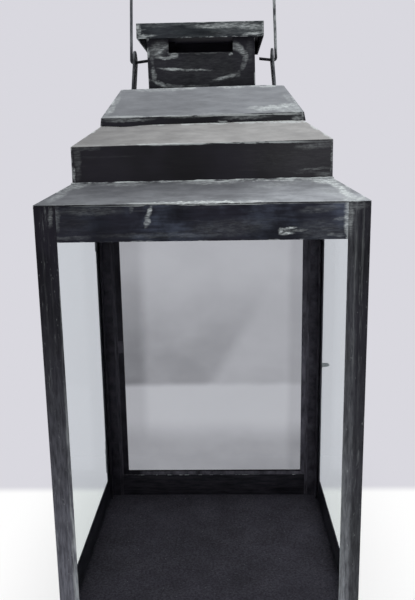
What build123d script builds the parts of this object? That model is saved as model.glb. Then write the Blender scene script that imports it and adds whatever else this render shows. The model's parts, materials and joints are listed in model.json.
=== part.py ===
from build123d import *
import os
from math import atan2, cos, degrees, radians, sin, tan

# A square garden lantern of painted sheet metal with glass on all four sides, a three-stepped roof,
# a vented chimney under a flat lid, a wire bail and a glazed door at the back.
# Millimetres. +Z is up, +X is right and -Y is the front. The origin is the middle of the underside.

os.makedirs("parts", exist_ok=True)

# Body
body_width = 250.0
body_height = 365.5
frame_sheet = 1.2
post_leg = 16.5
post_bend = 0.8
rail_height = 27.0
plate_thickness = 1.3

# Fixed panes, and the angles that clamp them in the corners
glass = 2.0
pane_gap = 0.3
pane_lap = 15.0
clamp_leg = 10.0
clamp_sheet = 1.0

# Roof
roof_sheet = 1.0
eaves_flange = 12.0
lower_rise = 16.2
middle_width = 200.0
middle_fascia = 28.0
middle_rise = 15.7
upper_width = 158.5
upper_fascia = 6.0
upper_rise = 22.5
crown_width = 129.0
ledge = 11.0

# Chimney and its lid
chimney_width = 88.0
chimney_height = 50.5
chimney_flue_lip = 1.5
vent_width = 52.5
vent_sill = 29.5
tab_flange = 6.0
cap_width = 102.5
cap_depth = 11.7

# Bail, and the ears that carry it
wire = 2.5
wire_flats = 16
wire_bend = 2.2
wire_play = 0.1
bail_side_play = 0.2
ear_spread = 122.4
ear_width = 20.0
ear_sheet = 2.0
ear_bend = 0.8
ear_rise = 28.0
ear_foot = 13.0
pin_reach = 12.2
leg_length = 63.0
leg_lean = 2.1

# Door
door_gap = 0.4
door_inset = 7.0
door_depth = 4.0
door_sheet = 0.8
door_bar = 14.0
hinge_bar = 16.0
door_lap = 4.0
door_glass_play = 0.4

# Hinges
leaf_sheet = 1.1
leaf_length = 14.0
hinge_height = 30.0
hinge_inset = 34.0
knuckle_gap = 0.2
pin_radius = 1.25
pin_play = 0.05
pin_head = 2.2
pin_head_height = 1.1

# Shanks of the latch stud and the knob
shank_radius = 1.4
shank_play = 0.05

# Turn button and knob
latch_height = 161.0
button_width = 6.4
button_tip_width = 3.8
button_reach = 14.6
button_sheet = 1.2
button_upstand = 3.4
button_play = 0.15
stud_boss = 2.4
stud_neck = 1.5
stud_head = 2.8
stud_head_height = 1.0
knob_drop = 26.0
knob_radius = 4.6
knob_waist = 2.6
knob_height = 8.5

# Places worked out from the sizes above
half = body_width / 2
inner_half = half - frame_sheet
pane_face = inner_half - glass
pane_height = body_height - rail_height + pane_lap - plate_thickness
opening_half = half - post_leg

eaves_z = body_height
lower_top_z = eaves_z + lower_rise
middle_eaves_z = lower_top_z + middle_fascia
middle_top_z = middle_eaves_z + middle_rise
upper_eaves_z = middle_top_z + upper_fascia
crown_z = upper_eaves_z + upper_rise
cap_underside_z = crown_z + chimney_height
cap_top_z = cap_underside_z + roof_sheet

wire_radius = wire / 2
ear_hole = wire_radius + wire_play
bail_z = crown_z + ear_rise
ear_outer = ear_spread / 2
ear_inner = ear_outer - ear_sheet

door_half = half - door_inset
door_inner_y = half + door_gap
door_outer_y = door_inner_y + door_depth
door_bottom_z = rail_height + door_lap - door_bar
door_top_z = body_height - door_bottom_z
door_middle_z = (door_bottom_z + door_top_z) / 2
door_height = door_top_z - door_bottom_z

knuckle = pin_radius + pin_play + leaf_sheet
knuckle_bore = pin_radius + pin_play
hinge_x = -half - knuckle
hinge_y = door_outer_y + knuckle
hinge_zs = {"lower": door_bottom_z + hinge_inset, "upper": door_top_z - hinge_inset}
middle_knuckle = hinge_height / 3 - 2 * knuckle_gap

latch_x = half - button_width / 2
button_tip_x = latch_x + button_reach - button_tip_width / 2
button_y = door_outer_y + door_gap
knob_z = latch_height - knob_drop
knob_x = door_half - door_bar / 2

# Quarter turns of the sides from the front; a corner has the turn of the side on its right
side_turns = {"front": 0, "right": 90, "back": 180, "left": 270}
corner_turns = {"front_left": 0, "front_right": 90, "back_right": 180, "back_left": 270}


def turned(turn, height=0):
    """Level plane at a height, turned about the lantern's own axis."""
    return Plane.XY.offset(height).rotated((0, 0, turn))


def back_face(x, y, z):
    """Plane on a face that looks backwards."""
    return Plane((x, y, z), x_dir=(1, 0, 0), z_dir=(0, 1, 0))


def side_face(x, y, z, side_sign):
    """Plane on a face that looks left or right."""
    return Plane((x, y, z), x_dir=(0, 1, 0), z_dir=(side_sign, 0, 0))


def keep(piece, name):
    """Label a finished piece and write its file."""
    piece.part.label = name
    export_step(piece.part, f"parts/{name}.step")


def frustum(low_z, low_width, high_z, high_width, mode=Mode.ADD):
    """Square frustum between two heights, joined to or cut from the piece in hand."""
    with BuildSketch(Plane.XY.offset(low_z)) as low:
        Rectangle(low_width, low_width)
    rise = high_z - low_z
    extrude(low.sketch, amount=rise, taper=degrees(atan2((low_width - high_width) / 2, rise)), mode=mode)


def slab(low_z, thickness, width, mode=Mode.ADD):
    """Square slab lying level."""
    with BuildSketch(Plane.XY.offset(low_z)) as outline:
        Rectangle(width, width)
    extrude(outline.sketch, amount=thickness, mode=mode)


def slope_wall(rise, low_width, high_width):
    """Level thickness of a sloping panel whose sheet is roof_sheet thick."""
    return roof_sheet / sin(atan2(rise, (low_width - high_width) / 2))


# Base plate, which lies between the rails and carries the candle
with BuildPart() as base_plate:
    with BuildSketch(Plane.XY):
        Rectangle(2 * inner_half, 2 * inner_half)
    extrude(amount=plate_thickness)
keep(base_plate, "base_plate")

# Corner posts: folded angles that run the full height of the body
for corner, turn in corner_turns.items():
    with BuildPart() as post:
        with BuildSketch(turned(turn)) as profile:
            with Locations((-half, -half)):
                Rectangle(post_leg, post_leg, align=(Align.MIN, Align.MIN))
            outer_corner = profile.vertices().sort_by_distance((-half, -half))[0]
            fillet(outer_corner, radius=post_bend)
            with Locations((-inner_half, -inner_half)):
                Rectangle(post_leg, post_leg, align=(Align.MIN, Align.MIN), mode=Mode.SUBTRACT)
        extrude(amount=body_height)
        if corner == "back_right":
            with Locations(back_face(latch_x, half, latch_height)):
                Hole(shank_radius + shank_play, depth=frame_sheet)
    keep(post, f"post_{corner}")

# Rails: flat strips butted between the posts, flush with their faces
for side, turn in side_turns.items():
    for level, rail_z in {"bottom": 0, "top": body_height - rail_height}.items():
        with BuildPart() as rail:
            with BuildSketch(turned(turn, rail_z)):
                with Locations((0, -half)):
                    Rectangle(2 * opening_half, frame_sheet, align=(Align.CENTER, Align.MIN))
            extrude(amount=rail_height)
        keep(rail, f"{level}_rail_{side}")

# Front pane, standing on the plate behind the posts and rails
with BuildPart() as front_pane:
    with BuildSketch(Plane.XY.offset(plate_thickness)):
        with Locations((0, -inner_half)):
            Rectangle(2 * (inner_half - pane_gap), glass, align=(Align.CENTER, Align.MIN))
    extrude(amount=pane_height)
keep(front_pane, "glass_front")

# Side panes, which start behind the front pane
side_pane_front = -pane_face + pane_gap
side_pane_back = inner_half - pane_gap
for side, side_sign in {"left": -1, "right": 1}.items():
    with BuildPart() as side_pane:
        with BuildSketch(Plane.XY.offset(plate_thickness)):
            with Locations((side_sign * (inner_half - glass / 2), (side_pane_front + side_pane_back) / 2)):
                Rectangle(glass, side_pane_back - side_pane_front)
        extrude(amount=pane_height)
    keep(side_pane, f"glass_{side}")

# Clamp angles that hold the panes against the posts; the back pair bears on one pane and on the post
clamp_offsets = {
    "front_left": (glass, glass),
    "front_right": (glass, glass),
    "back_right": (glass, 0),
    "back_left": (0, glass),
}
for corner, (offset_x, offset_y) in clamp_offsets.items():
    with BuildPart() as clamp:
        with BuildSketch(turned(corner_turns[corner], plate_thickness)):
            with Locations((-inner_half + offset_x, -inner_half + offset_y)):
                Rectangle(clamp_leg, clamp_leg, align=(Align.MIN, Align.MIN))
            with Locations((-inner_half + offset_x + clamp_sheet, -inner_half + offset_y + clamp_sheet)):
                Rectangle(clamp_leg, clamp_leg, align=(Align.MIN, Align.MIN), mode=Mode.SUBTRACT)
        extrude(amount=body_height - plate_thickness)
    keep(clamp, f"glass_clamp_{corner}")

# Lower roof: a level flange on the body, four shallow slopes, and a ledge for the next tier
lower_flange_z = eaves_z + roof_sheet
lower_wall = slope_wall(lower_rise - roof_sheet, body_width, middle_width)
lower_void_share = (lower_rise - 2 * roof_sheet) / (lower_rise - roof_sheet)
lower_void_width = body_width - lower_void_share * (body_width - middle_width) - 2 * lower_wall
with BuildPart() as lower_roof:
    slab(eaves_z, roof_sheet, body_width)
    frustum(lower_flange_z, body_width, lower_top_z, middle_width)
    slab(eaves_z, roof_sheet, body_width - 2 * eaves_flange, Mode.SUBTRACT)
    frustum(lower_flange_z, body_width - 2 * lower_wall, lower_top_z - roof_sheet, lower_void_width,
            Mode.SUBTRACT)
    slab(lower_top_z - roof_sheet, roof_sheet, middle_width - 2 * ledge, Mode.SUBTRACT)
keep(lower_roof, "lower_roof")

# Middle roof: a deep upright fascia, four slopes, and a ledge
middle_wall = slope_wall(middle_rise, middle_width, upper_width)
middle_void_share = (middle_rise - roof_sheet) / middle_rise
middle_void_width = middle_width - middle_void_share * (middle_width - upper_width) - 2 * middle_wall
with BuildPart() as middle_roof:
    slab(lower_top_z, middle_fascia, middle_width)
    frustum(middle_eaves_z, middle_width, middle_top_z, upper_width)
    slab(lower_top_z, middle_fascia, middle_width - 2 * roof_sheet, Mode.SUBTRACT)
    frustum(middle_eaves_z, middle_width - 2 * middle_wall, middle_top_z - roof_sheet, middle_void_width,
            Mode.SUBTRACT)
    slab(middle_top_z - roof_sheet, roof_sheet, upper_width - 2 * ledge, Mode.SUBTRACT)
keep(middle_roof, "middle_roof")

# Upper roof: a narrow fascia, four steep slopes, and a flat top with the flue hole
upper_wall = slope_wall(upper_rise, upper_width, crown_width)
upper_void_share = (upper_rise - roof_sheet) / upper_rise
upper_void_width = upper_width - upper_void_share * (upper_width - crown_width) - 2 * upper_wall
with BuildPart() as upper_roof:
    slab(middle_top_z, upper_fascia, upper_width)
    frustum(upper_eaves_z, upper_width, crown_z, crown_width)
    slab(middle_top_z, upper_fascia, upper_width - 2 * roof_sheet, Mode.SUBTRACT)
    frustum(upper_eaves_z, upper_width - 2 * upper_wall, crown_z - roof_sheet, upper_void_width,
            Mode.SUBTRACT)
    slab(crown_z - roof_sheet, roof_sheet, chimney_width - 2 * chimney_flue_lip, Mode.SUBTRACT)
keep(upper_roof, "upper_roof")

# Chimney: a square flue with a vent cut down from the top of each wall, and flanged tabs under the lid
vent_height = chimney_height - vent_sill
with BuildPart() as chimney:
    slab(crown_z, chimney_height, chimney_width)
    slab(crown_z, chimney_height - roof_sheet, chimney_width - 2 * roof_sheet, Mode.SUBTRACT)
    slab(cap_underside_z - roof_sheet, roof_sheet, chimney_width - 2 * tab_flange, Mode.SUBTRACT)
    with BuildSketch(Plane.XY.offset(crown_z + vent_sill)):
        Rectangle(vent_width, chimney_width)
        Rectangle(chimney_width, vent_width)
    extrude(amount=vent_height, mode=Mode.SUBTRACT)
keep(chimney, "chimney")

# Chimney cap: a flat lid with a folded-down rim
with BuildPart() as chimney_cap:
    slab(cap_top_z - cap_depth, cap_depth, cap_width)
    slab(cap_top_z - cap_depth, cap_depth - roof_sheet, cap_width - 2 * roof_sheet, Mode.SUBTRACT)
keep(chimney_cap, "chimney_cap")

# Ears: straps bent to an upright and a foot that stands on the flat top, round about the bail's hole
ear_bend_outer = ear_bend + ear_sheet
for side, side_sign in {"left": -1, "right": 1}.items():
    outer_x = side_sign * ear_outer
    inner_x = side_sign * ear_inner
    toe_x = side_sign * (ear_inner - ear_foot)
    foot_top_z = crown_z + ear_sheet
    with BuildPart() as ear:
        with BuildSketch(Plane.XZ.offset(-ear_width / 2)):
            with BuildLine():
                outside = FilletPolyline(
                    (toe_x, crown_z), (outer_x, crown_z), (outer_x, bail_z), radius=ear_bend_outer
                )
                inside = FilletPolyline(
                    (inner_x, bail_z), (inner_x, foot_top_z), (toe_x, foot_top_z), radius=ear_bend
                )
                Line(outside @ 1, inside @ 0)
                Line(inside @ 1, outside @ 0)
            make_face()
        extrude(amount=ear_width)
        with BuildSketch(side_face(inner_x, 0, bail_z, side_sign)):
            Circle(ear_width / 2)
        extrude(amount=ear_sheet)
        with Locations(side_face(outer_x, 0, bail_z, side_sign)):
            Hole(ear_hole, depth=ear_sheet)
    keep(ear, f"ear_{side}")

# Bail: one length of wire, its ends bent inwards through the ears, its legs leaning in to a round crown.
# The wire is drawn with sixteen flats.
lean = radians(leg_lean)
bend_reach = wire_bend * tan(radians(90 + leg_lean) / 2)
leg_foot_x = ear_outer + bail_side_play + bend_reach
leg_top_x = leg_foot_x - leg_length * sin(lean)
leg_top_z = bail_z + leg_length * cos(lean)
crown_radius = leg_top_x / cos(lean)
bail_crown_z = leg_top_z + crown_radius * (1 - sin(lean))
pin_end_x = ear_outer - pin_reach
with BuildPart() as bail:
    with BuildLine(Plane.XZ) as bail_path:
        left_leg = FilletPolyline(
            (-pin_end_x, bail_z), (-leg_foot_x, bail_z), (-leg_top_x, leg_top_z), radius=wire_bend
        )
        right_leg = FilletPolyline(
            (leg_top_x, leg_top_z), (leg_foot_x, bail_z), (pin_end_x, bail_z), radius=wire_bend
        )
        ThreePointArc(left_leg @ 1, (0, bail_crown_z), right_leg @ 0)
    with BuildSketch(side_face(-pin_end_x, 0, bail_z, -1)):
        RegularPolygon(wire_radius, wire_flats)
    sweep(path=bail_path.wire())
keep(bail, "bail")

# Door frame: four folded channels, mitred at the corners, with their slots turned inwards to hold the pane
door_face = Plane((0, door_outer_y, door_middle_z), x_dir=(1, 0, 0), z_dir=(0, -1, 0))
opening_edges = {-1: hinge_bar - door_half, 1: door_half - door_bar}
door_bars = {
    "door_stile_hinge": ((-1, -1), (-1, 1)),
    "door_stile_latch": ((1, 1), (1, -1)),
    "door_rail_top": ((-1, 1), (1, 1)),
    "door_rail_bottom": ((1, -1), (-1, -1)),
}
for name, (start, end) in door_bars.items():
    outer_edge = [(sign_x * door_half, sign_z * door_height / 2) for sign_x, sign_z in (start, end)]
    inner_edge = [(opening_edges[sign_x], sign_z * (door_height / 2 - door_bar))
                  for sign_x, sign_z in (end, start)]
    with BuildPart() as bar:
        with BuildSketch(door_face):
            Polygon(*outer_edge, *inner_edge, align=None)
        extrude(amount=door_depth)
        with BuildSketch(door_face.offset(door_sheet)):
            Rectangle(2 * (door_half - door_sheet), door_height - 2 * door_sheet)
        extrude(amount=door_depth - 2 * door_sheet, mode=Mode.SUBTRACT)
        if name == "door_stile_latch":
            with Locations(back_face(knob_x, door_outer_y, knob_z)):
                Hole(shank_radius + shank_play, depth=door_sheet)
    keep(bar, name)

# Door pane, which stands on the web of the bottom channel
door_pane_width = 2 * (door_half - door_sheet - door_glass_play)
door_pane_height = door_height - 2 * door_sheet - door_glass_play
with BuildPart() as door_pane:
    with BuildSketch(Plane.XY.offset(door_bottom_z + door_sheet)):
        with Locations((0, door_inner_y + door_depth / 2)):
            Rectangle(door_pane_width, glass)
    extrude(amount=door_pane_height)
keep(door_pane, "door_glass")

# Hinges: on each, two end knuckles rolled from the post's leaf and a middle one from the door's leaf
third = hinge_height / 3
for level, hinge_z in hinge_zs.items():
    hinge_low = hinge_z - hinge_height / 2
    with BuildPart() as post_leaf:
        with BuildSketch(Plane.XY.offset(hinge_low)):
            with Locations((-half, half)):
                Rectangle(leaf_sheet, leaf_length, align=(Align.MAX, Align.MAX))
        extrude(amount=hinge_height)
        for knuckle_low in (hinge_low, hinge_z + third / 2):
            with BuildSketch(Plane.XY.offset(knuckle_low)):
                with Locations((-half, half)):
                    Rectangle(leaf_sheet, hinge_y - half, align=(Align.MAX, Align.MIN))
                with Locations((hinge_x, hinge_y)):
                    Circle(knuckle)
                    Circle(knuckle_bore, mode=Mode.SUBTRACT)
            extrude(amount=third)
    keep(post_leaf, f"hinge_leaf_post_{level}")

    with BuildPart() as door_leaf:
        with BuildSketch(Plane.XY.offset(hinge_low)):
            with Locations((-door_half, door_outer_y)):
                Rectangle(leaf_length, leaf_sheet, align=(Align.MIN, Align.MIN))
        extrude(amount=hinge_height)
        with BuildSketch(Plane.XY.offset(hinge_z - middle_knuckle / 2)):
            with Locations((hinge_x, door_outer_y)):
                Rectangle(-door_half - hinge_x, leaf_sheet, align=(Align.MIN, Align.MIN))
            with Locations((hinge_x, hinge_y)):
                Circle(knuckle)
                Circle(knuckle_bore, mode=Mode.SUBTRACT)
        extrude(amount=middle_knuckle)
    keep(door_leaf, f"hinge_leaf_door_{level}")

    with BuildPart() as pin:
        with BuildSketch(Plane.XY.offset(hinge_low)):
            with Locations((hinge_x, hinge_y)):
                Circle(pin_radius)
        extrude(amount=hinge_height)
        for head_low in (hinge_low - pin_head_height, hinge_z + hinge_height / 2):
            with BuildSketch(Plane.XY.offset(head_low)):
                with Locations((hinge_x, hinge_y)):
                    Circle(pin_head)
            extrude(amount=pin_head_height)
    keep(pin, f"hinge_pin_{level}")

# Latch stud: a stepped rivet in the post, whose boss holds the turn button clear of the door
stud_face = back_face(latch_x, half, latch_height)
boss_height = button_y - button_play - half
neck_height = boss_height + button_sheet + 2 * button_play
with BuildPart() as latch_stud:
    with Locations(stud_face):
        Cylinder(shank_radius, frame_sheet, align=(Align.CENTER, Align.CENTER, Align.MAX))
        Cylinder(stud_boss, boss_height, align=(Align.CENTER, Align.CENTER, Align.MIN))
        Cylinder(stud_neck, neck_height, align=(Align.CENTER, Align.CENTER, Align.MIN))
    with Locations(stud_face.offset(neck_height)):
        Cylinder(stud_head, stud_head_height, align=(Align.CENTER, Align.CENTER, Align.MIN))
keep(latch_stud, "latch_stud")

# Turn button, pointing out past the post, clear of the door; half a turn brings it across the stile.
# It tapers to a tip that is folded up for the finger.
with BuildPart() as latch_button:
    with BuildSketch(back_face(latch_x, button_y, latch_height)) as button_plate:
        Circle(button_width / 2)
        with Locations((button_tip_x - latch_x, 0)):
            Circle(button_tip_width / 2)
        make_hull()
        Circle(stud_neck + pin_play, mode=Mode.SUBTRACT)
    extrude(button_plate.sketch, amount=button_sheet)
    with BuildSketch(Plane.XY.offset(latch_height - button_tip_width / 2)) as upstand:
        with Locations((button_tip_x, button_y)):
            Rectangle(button_sheet, button_upstand, align=(Align.MAX, Align.MIN))
    extrude(upstand.sketch, amount=button_tip_width)
keep(latch_button, "latch_button")

# Door knob: turned, with a foot, a waist and a head that is chamfered at its rim
knob_foot_share = 0.72
knob_crown_share = 0.6
knob_foot_height_share = 0.12
knob_waist_height_share = 0.4
knob_rim_height_share = 0.72
knob_foot_radius = knob_foot_share * knob_radius
with BuildPart() as door_knob:
    with BuildSketch(Plane((knob_x, door_outer_y, knob_z), x_dir=(1, 0, 0), z_dir=(0, 0, 1))):
        with BuildLine():
            Polyline(
                (0, -door_sheet), (shank_radius, -door_sheet), (shank_radius, 0), (knob_foot_radius, 0),
                (knob_foot_radius, knob_foot_height_share * knob_height),
                (knob_waist, knob_waist_height_share * knob_height),
                (knob_radius, knob_rim_height_share * knob_height),
                (knob_crown_share * knob_radius, knob_height), (0, knob_height), close=True,
            )
        make_face()
    revolve(axis=Axis((knob_x, door_outer_y, knob_z), (0, 1, 0)))
keep(door_knob, "door_knob")
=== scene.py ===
import json
from math import cos, exp, pi, radians, sin, tan

import bmesh
import bpy
from mathutils import Matrix, Vector

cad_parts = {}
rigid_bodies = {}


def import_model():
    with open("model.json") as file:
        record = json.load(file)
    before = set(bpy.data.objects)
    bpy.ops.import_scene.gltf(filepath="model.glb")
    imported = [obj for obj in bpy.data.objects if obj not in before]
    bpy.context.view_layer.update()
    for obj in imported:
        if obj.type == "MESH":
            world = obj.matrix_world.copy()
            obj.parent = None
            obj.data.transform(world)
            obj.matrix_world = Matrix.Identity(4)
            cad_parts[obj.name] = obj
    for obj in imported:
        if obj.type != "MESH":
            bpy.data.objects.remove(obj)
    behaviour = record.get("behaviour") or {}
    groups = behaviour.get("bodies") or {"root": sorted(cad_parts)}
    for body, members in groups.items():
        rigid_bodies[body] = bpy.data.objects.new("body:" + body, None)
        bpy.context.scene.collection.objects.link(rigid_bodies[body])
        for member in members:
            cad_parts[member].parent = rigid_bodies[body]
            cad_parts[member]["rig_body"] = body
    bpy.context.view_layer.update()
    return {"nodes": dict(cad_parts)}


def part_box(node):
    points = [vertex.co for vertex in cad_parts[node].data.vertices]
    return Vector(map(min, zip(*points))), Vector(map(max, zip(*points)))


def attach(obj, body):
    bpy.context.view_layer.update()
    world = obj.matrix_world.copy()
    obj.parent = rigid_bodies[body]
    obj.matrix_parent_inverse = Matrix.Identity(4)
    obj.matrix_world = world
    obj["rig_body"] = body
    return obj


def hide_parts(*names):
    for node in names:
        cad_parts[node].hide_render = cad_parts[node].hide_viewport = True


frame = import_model()

MM = 0.001

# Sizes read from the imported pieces, in metres
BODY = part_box("post_front_right")[1].x
BODY_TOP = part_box("post_front_right")[1].z
RAIL_TOP_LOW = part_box("top_rail_front")[0].z
RAIL_LOW_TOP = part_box("bottom_rail_front")[1].z
RAIL_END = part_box("top_rail_front")[1].x
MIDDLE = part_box("middle_roof")[1].x
MIDDLE_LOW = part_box("middle_roof")[0].z
MIDDLE_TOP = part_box("middle_roof")[1].z
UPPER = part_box("upper_roof")[1].x
CROWN_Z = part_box("upper_roof")[1].z
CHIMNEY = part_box("chimney")[1].x
CHIMNEY_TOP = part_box("chimney")[1].z
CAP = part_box("chimney_cap")[1].x
CAP_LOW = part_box("chimney_cap")[0].z
CAP_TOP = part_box("chimney_cap")[1].z
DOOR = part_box("door_rail_top")[1].x
DOOR_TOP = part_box("door_rail_top")[1].z
DOOR_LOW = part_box("door_rail_bottom")[0].z

# Widths and heights of the folded sheet, in millimetres
POST_LEG = (BODY - RAIL_END) / MM
DOOR_BAR = (DOOR_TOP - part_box("door_rail_top")[0].z) / MM
CROWN = 64.5
EAVES_Z = BODY_TOP / MM
MIDDLE_EAVES = EAVES_Z + 44.2
UPPER_EAVES = MIDDLE_TOP / MM + 6.0


def srgb(red, green, blue):
    """Scene-linear colour of a screen colour whose channels run from 0 to 255."""
    channels = [c / 255 for c in (red, green, blue)]
    linear = [c / 12.92 if c <= 0.04045 else ((c + 0.055) / 1.055) ** 2.4 for c in channels]
    return (*linear, 1.0)


class Signal:
    """A number or vector that varies over a surface, with the arithmetic that a finish needs."""

    def __init__(self, finish, socket):
        self.finish = finish
        self.socket = socket

    def maths(self, operation, *terms):
        return self.finish.node("ShaderNodeMath", {"operation": operation}, dict(enumerate(terms)))

    def __add__(self, other):
        return self.maths("ADD", self, other)

    def __sub__(self, other):
        return self.maths("SUBTRACT", self, other)

    def __rsub__(self, other):
        return self.maths("SUBTRACT", other, self)

    def __mul__(self, other):
        return self.maths("MULTIPLY", self, other)

    def __truediv__(self, other):
        return self.maths("DIVIDE", self, other)

    def __pow__(self, other):
        return self.maths("POWER", self, other)

    def __abs__(self):
        return self.maths("ABSOLUTE", self)

    __radd__ = __add__
    __rmul__ = __mul__

    def least(self, other):
        return self.maths("MINIMUM", self, other)

    def most(self, other):
        return self.maths("MAXIMUM", self, other)

    def clipped(self):
        """The same between 0 and 1, and held there outside them."""
        return self.most(0.0).least(1.0)

    def step(self, start, end):
        """0 at the start value and 1 at the end value, with a soft step between them."""
        return self.finish.node(
            "ShaderNodeMapRange", {"interpolation_type": "SMOOTHSTEP"},
            {"Value": self, "From Min": start, "From Max": end},
        )


# How far one step of a noise's seed moves its pattern along each axis
SEED_SHIFT = (17.3, -9.1, 5.7)


class Finish:
    """A material or sky being mixed: its nodes, and signals of the place and the facing."""

    def __init__(self, name, world=None):
        self.material = world or bpy.data.materials.new(name)
        self.out = "ShaderNodeOutputWorld" if world else "ShaderNodeOutputMaterial"
        self.material.use_nodes = True
        self.tree = self.material.node_tree
        self.tree.nodes.clear()
        spot = self.node("ShaderNodeTexCoord", output="Object")
        facing = self.node("ShaderNodeTexCoord", output="Normal")
        self.spot_mm = self.node(
            "ShaderNodeVectorMath", {"operation": "SCALE"}, {0: spot, "Scale": 1 / MM},
        )
        self.x, self.y, self.z = self.split(self.spot_mm)
        self.faces_right, self.faces_back, self.faces_up = self.split(facing)

    def node(self, kind, settings=None, inputs=None, output=0):
        made = self.tree.nodes.new(kind)
        for name, value in (settings or {}).items():
            setattr(made, name, value)
        for name, value in (inputs or {}).items():
            if isinstance(value, Signal):
                self.tree.links.new(value.socket, made.inputs[name])
            else:
                made.inputs[name].default_value = value
        return Signal(self, made.outputs[output])

    def split(self, vector):
        parts = self.node("ShaderNodeSeparateXYZ", inputs={"Vector": vector})
        return [Signal(self, socket) for socket in parts.socket.node.outputs]

    def around(self):
        """The larger and the smaller of the distances in x and y from the lantern's middle."""
        return abs(self.x).most(abs(self.y)), abs(self.x).least(abs(self.y))

    def stretched(self, scale, shift):
        """Place in millimetres scaled along each axis, so that long strokes have a small scale."""
        return self.node(
            "ShaderNodeMapping",
            inputs={"Vector": self.spot_mm, "Scale": scale, "Location": shift},
        )

    def cloud(self, scale, seed=0, detail=3.0, rough=0.55, twist=0.0):
        """Noise from 0 to 1 whose scale is in cycles to a millimetre along each axis."""
        if not isinstance(scale, tuple):
            scale = (scale, scale, scale)
        return self.node(
            "ShaderNodeTexNoise", {"noise_dimensions": "3D"},
            {"Vector": self.stretched(scale, [seed * part for part in SEED_SHIFT]), "Scale": 1.0,
             "Detail": detail, "Roughness": rough, "Distortion": twist},
        )

    def mix(self, share, first, second):
        """Colour that goes from the first to the second as the share goes from 0 to 1."""
        made = self.tree.nodes.new("ShaderNodeMix")
        made.data_type = "RGBA"
        sockets = made.inputs[0], made.inputs[6], made.inputs[7]
        for socket, value in zip(sockets, (share, first, second)):
            if isinstance(value, Signal):
                self.tree.links.new(value.socket, socket)
            else:
                socket.default_value = value
        return Signal(self, made.outputs[2])

    def bump(self, height, depth):
        """Surface normal for a height from 0 to 1 that stands for a depth in millimetres."""
        return self.node(
            "ShaderNodeBump", inputs={"Height": height, "Strength": 1.0, "Distance": depth * MM},
        )

    def show(self, shader):
        out = self.tree.nodes.new(self.out)
        self.tree.links.new(shader.socket, out.inputs["Surface"])
        return self.material


# Paint, and the painted shadow and smears on the door's glass

BLACK = srgb(5, 4, 11)
SOOT = srgb(24, 22, 31)
HAZE = srgb(168, 172, 178)
BLUE_HAZE = srgb(165, 167, 179)
GREY_HAZE = srgb(175, 175, 175)
GREEN_HAZE = srgb(145, 162, 168)
RAIL_HAZE = srgb(153, 166, 194)
VIOLET_HAZE = srgb(168, 163, 179)
SHADOW_GREY = srgb(90, 90, 94)
WHITE = srgb(214, 221, 222)


def painted(finish, white, haze, grain, depth=0.25, contrast=0.8, tone=HAZE, soot=1.0, shine=0.1):
    """Black paint under a thin white haze, with thicker white where the brush left it.

    White, haze and soot run from 0 to 1; some callers fold painted light and shade into the haze.
    The grain is in cycles to a millimetre, as a cloud's scale is, and the depth is that of the
    brush's relief in millimetres.
    """
    patches = finish.cloud(0.02, seed=3, detail=2.0)
    base = finish.mix(patches.step(0.35, 0.65) * soot, BLACK, SOOT)
    streaks = finish.cloud(grain, seed=5, detail=6.0, rough=0.66)
    mottle = finish.cloud(0.05, seed=6, detail=4.0, rough=0.6)
    thick = (1 - contrast) + contrast * (1.6 * streaks.step(0.25, 0.75) + 0.4 * mottle)
    veil = (haze * thick).clipped()
    laid = (white * (0.65 + 0.6 * streaks)).clipped()
    colour = finish.mix(laid, finish.mix(veil, base, tone), WHITE)
    skin = finish.cloud(1.1, seed=8, detail=2.0)
    gloss = 0.5 + 0.2 * laid + 0.16 * streaks
    relief = 0.5 * streaks + 0.35 * laid + 0.1 * skin
    return finish.show(finish.node("ShaderNodeBsdfPrincipled", inputs={
        "Base Color": colour, "Roughness": gloss, "Specular IOR Level": shine,
        "Normal": finish.bump(relief, depth),
    }))


def scuff(finish, distance, width, seed, wander, cover):
    """White rubbed along an edge, ragged and broken.

    The distance from the edge and the width are in millimetres, the wander is the scale of its
    raggedness, and the cover is the share of the edge that is white.
    """
    ragged = finish.cloud(wander, seed=seed, detail=6.0, rough=0.75)
    reach = width * (0.15 + 1.6 * ragged.step(0.36, 0.68))
    return (distance / reach).step(1.0, 0.35) * ragged.step(0.64 - 0.4 * cover, 0.74 - 0.4 * cover)


# How far a brush mark's outline strays across and up, in millimetres, how much wider than written
# it is, and how fast it thins out at its edge
STRAY_ACROSS, STRAY_UP = 6.0, 4.0
MARK_BREADTH = 1.15
MARK_THINNING = 2.3


def strokes(finish, marks, seed):
    """Dry brush marks seen from the front, in millimetres.

    Each has its middle, its half length and half width, its tilt in degrees, bend and strength.
    """
    stray = finish.cloud(0.16, seed=seed + 1, detail=4.0, rough=0.65)
    stray_up = finish.cloud(0.16, seed=seed + 2, detail=4.0, rough=0.65)
    across = finish.x + STRAY_ACROSS * (stray - 0.5)
    height = finish.z + STRAY_UP * (stray_up - 0.5)
    specks = finish.cloud((0.22, 0.22, 1.1), seed=seed, detail=5.0, rough=0.7)
    total = None
    for middle, (length, width), tilt, bend, strength in marks:
        along_x, along_z = cos(radians(tilt)), sin(radians(tilt))
        off_x, off_z = across - middle[0], height - middle[1]
        run = (off_x * along_x + off_z * along_z) / length
        rise = (off_z * along_x - off_x * along_z) / (MARK_BREADTH * width) - bend * run * run
        mark = (run * run + rise * rise).step(1.9, 0.0) * strength
        total = mark if total is None else total.most(mark)
    return (total * (0.5 + 0.72 * specks.step(0.3, 0.7))) ** MARK_THINNING


def frame_places(finish):
    """Signals of a post or rail: distance from the body's upright edge, and 1 on outer faces."""
    far, near = finish.around()
    return BODY / MM - near, far.step(BODY / MM - 0.7, BODY / MM - 0.35)


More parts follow.
